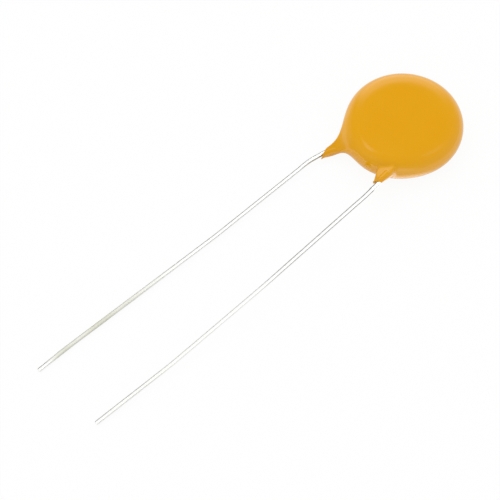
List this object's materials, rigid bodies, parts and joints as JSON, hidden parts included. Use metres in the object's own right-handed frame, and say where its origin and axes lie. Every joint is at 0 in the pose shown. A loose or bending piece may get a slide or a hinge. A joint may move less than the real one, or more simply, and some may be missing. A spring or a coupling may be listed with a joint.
{
  "type": "varistor",
  "caption": "Disc varistor: round ceramic disc dipped in glossy orange epoxy, with straight tinned radial wire leads, lying on its back.",
  "frame": {"origin": "centre of the flat back of the coating, on the plane that the part lies on", "axes": "+Z out of the front face, +Y from the leads' cut ends towards the disc, +X from the left lead towards the right lead"},
  "size_m": [0.0124, 0.0527, 0.0036],
  "materials": {
    "epoxy": "gloss",
    "zinc_oxide": "matte",
    "fired_silver": "satin",
    "tinned_wire": "gloss",
    "solder": "satin"
  },
  "bodies": {
    "root": {"coating": "epoxy", "ceramic_disc": "zinc_oxide", "front_electrode": "fired_silver", "back_electrode": "fired_silver", "left_lead": "tinned_wire", "right_lead": "tinned_wire", "left_solder": "solder", "right_solder": "solder"}
  },
  "joints": []
}
